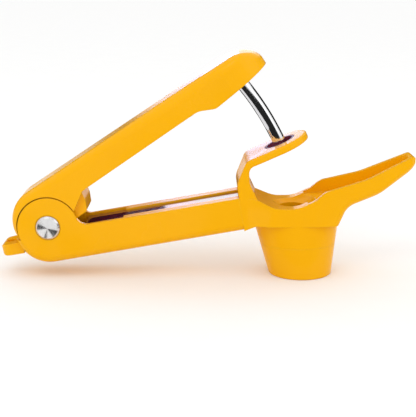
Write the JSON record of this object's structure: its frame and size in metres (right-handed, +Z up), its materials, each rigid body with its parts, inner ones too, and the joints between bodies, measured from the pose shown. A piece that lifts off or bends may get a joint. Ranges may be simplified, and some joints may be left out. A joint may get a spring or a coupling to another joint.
{
  "type": "cherry pitter",
  "caption": "Hand held cherry pitter: two hinged levers, a curved rod through a guide ring, a fruit cup with a ramp and a drip chute.",
  "frame": {"origin": "centre of the drip chute's lower rim", "axes": "+X from the hinge towards the pouring ramp, +Y away from the near side, +Z up through the cup"},
  "size_m": [0.1821, 0.028, 0.0985],
  "materials": {
    "yellow_plastic": "polished mould",
    "plum_rubber": "smooth",
    "plum_gloss": "polished mould",
    "rod_chrome": "polished",
    "fastener_steel": "turned",
    "spring_steel": "drawn wire",
    "nylon_natural": "matt",
    "dark_nylon": "matt"
  },
  "bodies": {
    "base": {"lower_handle": "yellow_plastic", "handle_cover": "yellow_plastic", "handle_inlay": "plum_gloss", "fruit_holder": "yellow_plastic", "drip_chute": "yellow_plastic", "stripper_bush": "plum_rubber", "holder_screws": "fastener_steel", "pivot_pin": "fastener_steel", "pivot_cap_near": "fastener_steel", "pivot_cap_far": "fastener_steel", "torsion_spring": "spring_steel", "washer_near": "nylon_natural", "washer_far": "nylon_natural"},
    "lever": {"lever_shell": "yellow_plastic", "lever_cover": "yellow_plastic", "lock_tooth": "fastener_steel", "cover_screws": "fastener_steel", "hub_bush": "nylon_natural", "rod_socket": "dark_nylon", "plunger_rod": "rod_chrome", "rod_pin": "fastener_steel"},
    "latch": {"latch_slider": "yellow_plastic"}
  },
  "joints": [
    {"name": "lever_hinge", "type": "hinge", "parent": "base", "child": "lever", "pos_m": [-0.111, 0, 0.0232], "axis": [0, 1, 0], "range_deg": [0, 16.5], "stiffness_Nm_per_rad": 1.2, "springref_deg": -20.05, "deforming": ["torsion_spring"]},
    {"name": "latch_slide", "type": "slide", "parent": "base", "child": "latch", "axis": [0.9848, 0, 0.1736], "range_m": [0, 0.0035]}
  ]
}
